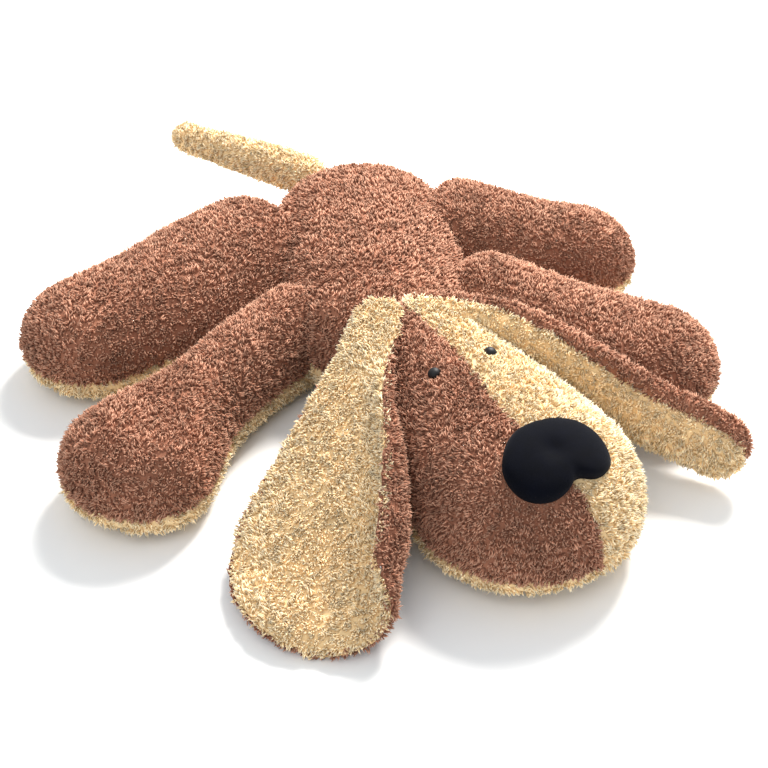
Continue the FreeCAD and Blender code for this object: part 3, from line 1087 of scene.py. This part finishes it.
# %% Grow the face
comb = head.ahead * 0.15 - UP * 0.3
brown_face = cut_panel("face_brown_cloth", "head", [(seam_point, Z), (middle_point, -Y)], face_wander)
dressed(pile(brown_face, "face_panel_brown_plush", 140, TOP_DENSITY, comb, ["trunk"], face_trim),
        "head", "face_panel_brown", brown_plush)
cream_face = cut_panel("face_cream_cloth", "head", [(seam_point, Z), (middle_point, Y)], face_wander)
dressed(pile(cream_face, "face_panel_cream_plush", 141, TOP_DENSITY, comb, ["trunk"], face_trim),
        "head", "face_panel_cream", cream_plush)
chin = cut_panel("chin_cloth", "head", [(seam_point, -Z)])
dressed(pile(chin, "chin_panel_plush", 142, SOLE_DENSITY, comb, ["trunk"]),
        "head", "chin_panel", cream_plush)
follow(filling("head", "head_stuffing", fibre), "head")

# %% Make the nose
def closed_piece(name, points, faces, material):
    """An object from points and faces, with points that meet merged and its faces turned outward."""
    mesh = bpy.data.meshes.new(name)
    mesh.from_pydata([tuple(p) for p in points], [], faces)
    built = bmesh.new()
    built.from_mesh(mesh)
    bmesh.ops.remove_doubles(built, verts=built.verts[:], dist=0.01 * MM)
    bmesh.ops.recalc_face_normals(built, faces=built.faces[:])
    built.to_mesh(mesh)
    built.free()
    mesh.polygons.foreach_set("use_smooth", [True] * len(mesh.polygons))
    mesh.materials.append(material)
    return placed(name, mesh)


def ring_faces(rings, spokes):
    """The quads between rings of points."""
    return [(ring * spokes + k, (ring + 1) * spokes + k,
             (ring + 1) * spokes + (k + 1) % spokes, ring * spokes + (k + 1) % spokes)
            for ring in range(rings - 1) for k in range(spokes)]


def velour(name):
    """Dense navy-black velour: short nap with a faint streaky sheen."""
    material, tree, shader = new_material(name, 0.85)
    nap = noise(tree, 130.0, 5.0)
    wire(tree, mixed(tree, nap, linear(1, 2, 7), linear(4, 7, 19)), shader.inputs["Base Color"])
    bumped(tree, shader, noise(tree, 2600.0, 2.0), 0.6, 0.25 * MM)
    shader.inputs["Sheen Weight"].default_value = 0.03
    shader.inputs["Sheen Roughness"].default_value = 0.5
    shader.inputs["Specular IOR Level"].default_value = 0.06
    return material


def nose_points():
    """Rings from the middle out: full in the middle, rounding down to the sewn edge."""
    rings = []
    dimple = NOSE_SURFACE - nose_across * 2 * MM - nose_down * 2 * MM
    for ring in range(NOSE_RINGS + 3):
        share = min(1.0, ring / NOSE_RINGS)
        under = max(0, ring - NOSE_RINGS)
        for spoke in range(NOSE_SPOKES):
            angle = 2 * math.pi * spoke / NOSE_SPOKES
            place, normal = nose_place(angle, share * (1 - 0.004 * under))
            normal = unit(normal + 2 * NOSE_NORMAL)
            crown = NOSE_STEP + NOSE_PAD * (1 - share ** 4) ** 0.5
            crown -= DIMPLE_DEPTH * math.exp(-(np.linalg.norm(place - dimple) / DIMPLE_REACH) ** 2)
            rings.append(place + normal * (crown if not under else NOSE_STEP * (1 - under * 0.75)))
    return rings


def make_nose():
    """The padded patch, sewn to the muzzle."""
    faces = ring_faces(NOSE_RINGS + 3, NOSE_SPOKES)
    piece = closed_piece("nose_pad", nose_points(), faces, velour("nose_velour"))
    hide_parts("nose_patch")
    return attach(piece, "head")


nose = make_nose()
print("nose:", len(nose.data.polygons), "faces")

# %% Make the eyes
BEAD_HEIGHT = 4.0 * MM
BEAD_PROFILE = [(0.0, 1.0), (0.28, 0.975), (0.52, 0.89), (0.72, 0.74), (0.88, 0.54), (0.97, 0.34),
                (1.0, 0.18), (0.96, 0.05), (0.80, 0.0), (0.42, -0.02), (0.40, -0.5), (0.38, -1.9),
                (0.0, -1.95)]
BEAD_SPOKES = 40


def bead_plastic(name):
    """Hard black moulded plastic, faintly scuffed."""
    material, tree, shader = new_material(name, 0.3)
    scuff = noise(tree, 900.0, 4.0)
    wire(tree, mixed(tree, scuff, linear(10, 9, 10), linear(26, 24, 26)), shader.inputs["Base Color"])
    wire(tree, ranged(tree, scuff, 0.3, 0.8, 0.46, 0.62), shader.inputs["Roughness"])
    shader.inputs["Specular IOR Level"].default_value = 0.3
    return material


def turned(name, profile, seat, normal, material):
    """A piece turned from (radius, height) places, standing on a seat along a normal."""
    first = unit(np.cross(normal, head.ahead))
    second = np.cross(normal, first)
    points = []
    for radius, height in profile:
        for spoke in range(BEAD_SPOKES):
            angle = 2 * math.pi * spoke / BEAD_SPOKES
            around = first * math.cos(angle) + second * math.sin(angle)
            points.append(seat + around * radius + normal * height)
    return closed_piece(name, points, ring_faces(len(profile), BEAD_SPOKES), material)


def make_eye(node, material, sunk):
    """A turned bead on its shank, square to the cloth and sunk into it."""
    seat, normal = eye_seats[node]
    profile = [(radius * EYE_RADIUS, height * BEAD_HEIGHT - sunk) for radius, height in BEAD_PROFILE]
    piece = turned(f"{node}_bead", profile, seat, normal, material)
    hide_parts(node)
    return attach(piece, "head")


black_plastic = bead_plastic("eye_plastic")
for node, sunk in (("eye_right", 0.0), ("eye_left", 0.8 * MM)):
    print(make_eye(node, black_plastic, sunk).name, "made")

# %% [markdown]
# ## Washers
# Behind each eye a white nylon washer holds the shank inside the head. It is a thin disc with a
# raised hub, seated square to the eye, so it is turned from a profile like the bead.

# %% Make the washers
WASHER_RADIUS = (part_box("eye_washer_right")[1].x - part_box("eye_washer_right")[0].x) / 2
WASHER_DEPTH = 7.0 * MM
WASHER_PROFILE = [(0.30, -0.2 * MM), (0.30, 1.8 * MM), (0.42, 1.8 * MM), (0.50, 1.0 * MM), (0.94, 0.9 * MM),
                  (1.0, 0.6 * MM), (1.0, 0.1 * MM), (0.92, -0.2 * MM), (0.30, -0.2 * MM)]


def washer_plastic(name):
    """Milky nylon with faint flow marks."""
    material, tree, shader = new_material(name, 0.4)
    flow = noise(tree, 300.0, 3.0)
    wire(tree, mixed(tree, flow, linear(214, 212, 206), linear(238, 237, 232)), shader.inputs["Base Color"])
    bumped(tree, shader, flow, 0.2, 0.1 * MM)
    return material


milky = washer_plastic("washer_plastic")
for side in ("right", "left"):
    seat, normal = eye_seats[f"eye_{side}"]
    profile = [(radius * WASHER_RADIUS, height) for radius, height in WASHER_PROFILE]
    washer = turned(f"eye_washer_{side}_disc", profile, seat - normal * WASHER_DEPTH, normal, milky)
    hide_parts(f"eye_washer_{side}")
    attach(washer, "head")

# %% [markdown]
# ## The ears' cloth
# The lining is cream and the outside brown. On the right ear the lining faces up, and on the left
# ear it faces the head's side, because that ear stands on its edge.

# %% Grow the ears
EAR_DENSITY = 0.62 / MM ** 2
middle_plane = Vector((0, 0, 0))
SEAM_TURN = {"ear_right": 0.0, "ear_left": math.radians(30)}     # brown wraps over the upper edge
for index, body in enumerate(("ear_right", "ear_left")):
    parting = Vector((0, -math.sin(SEAM_TURN[body]), math.cos(SEAM_TURN[body])))
    line = EAR_RIGHT_LINE if body == "ear_right" else EAR_LEFT_LINE
    comb = unit(line[-1] - line[0]) * 0.45 - UP * 0.1
    lining = cut_panel(f"{body}_lining_cloth", body, [(middle_plane, parting)])
    dressed(pile(lining, f"{body}_lining_plush", 160 + index, EAR_DENSITY, comb, ["head"]),
            body, f"{body}_lining", cream_plush)
    outer = cut_panel(f"{body}_outer_cloth", body, [(middle_plane, -parting)])
    dressed(pile(outer, f"{body}_outer_plush", 170 + index, EAR_DENSITY, comb, ["head"]),
            body, f"{body}_outer", brown_plush)
    follow(filling(body, f"{body}_batting", batting, 4 * MM), body)

# %% [markdown]
# ## The tail's cloth
# One piece of cream cloth sewn into a tube, so it is not cut into panels, and its pile lies
# towards the tip. The bags have done their work after this and are taken away.

# %% Grow the tail
tail_cloth = cut_panel("tail_cloth", "tail", [])
dressed(pile(tail_cloth, "tail_cover_plush", 180, EAR_DENSITY, tail.ahead * 1.2, ["trunk"]),
        "tail", "tail_cover", cream_plush)
follow(filling("tail", "tail_stuffing", fibre, 4 * MM), "tail")

for bag in bags.values():
    bpy.data.objects.remove(bag)

# %% [markdown]
# ## Floor, light and camera
# A wide pale floor, one large soft lamp high up behind the dog's right shoulder, and an even sky
# that fills the shade. The camera looks down at the face from in front.

# %% Floor
FLOOR_SIZE = 12.0


def make_floor():
    """A wide sheet of pale paper under the dog."""
    mesh = bpy.data.meshes.new("floor")
    half = FLOOR_SIZE / 2
    corners = [(-half, -half, 0), (half, -half, 0), (half, half, 0), (-half, half, 0)]
    mesh.from_pydata(corners, [], [(0, 1, 2, 3)])
    floor = placed("floor", mesh)
    material, tree, shader = new_material("floor_paper", 0.9)
    shade = ranged(tree, noise(tree, 3.0, 4.0), 0.2, 0.8, 0.0, 1.0)
    wire(tree, mixed(tree, shade, linear(240, 240, 238), linear(246, 246, 245)), shader.inputs["Base Color"])
    mesh.materials.append(material)


make_floor()

# %% Light
def soft_lamp(name, place, aim, size, power, colour):
    """A square soft box that faces a point."""
    lamp = bpy.data.lights.new(name, "AREA")
    lamp.shape = "SQUARE"
    lamp.size = size
    lamp.energy = power
    lamp.color = colour
    lamp_object = placed(name, lamp)
    lamp_object.location = place
    lamp_object.rotation_euler = (Vector(aim) - Vector(place)).to_track_quat("-Z", "Y").to_euler()


AIM = (0.0, -0.05, 0.04)
WARM, COOL = (1.0, 0.97, 0.93), (0.97, 0.98, 1.0)
soft_lamp("key", (1.1, 1.3, 1.8), AIM, 0.8, 150, WARM)
soft_lamp("fill", (-0.9, -1.2, 1.8), AIM, 1.6, 12, COOL)
world = bpy.data.worlds.new("studio")
world.use_nodes = True
world.node_tree.nodes["Background"].inputs["Color"].default_value = (0.92, 0.96, 1.0, 1)
world.node_tree.nodes["Background"].inputs["Strength"].default_value = 0.8
scene.world = world
scene.view_settings.view_transform = "Standard"

# %% Camera
CAMERA_AZIMUTH, CAMERA_ELEVATION = math.radians(-14), math.radians(38)
CAMERA_DISTANCE, CAMERA_LENS = 1.0, 67.97
CAMERA_TARGET = Vector((-2, -73, 40)) * MM
camera = bpy.data.cameras.new("camera")
camera.lens = CAMERA_LENS
camera_object = placed("camera", camera)
back = Vector((math.sin(CAMERA_AZIMUTH) * math.cos(CAMERA_ELEVATION),
               -math.cos(CAMERA_AZIMUTH) * math.cos(CAMERA_ELEVATION), math.sin(CAMERA_ELEVATION)))
camera_object.location = CAMERA_TARGET + back * CAMERA_DISTANCE
camera_object.rotation_mode = "QUATERNION"
camera_object.rotation_quaternion = (-back).to_track_quat("-Z", "Y")
scene.camera = camera_object
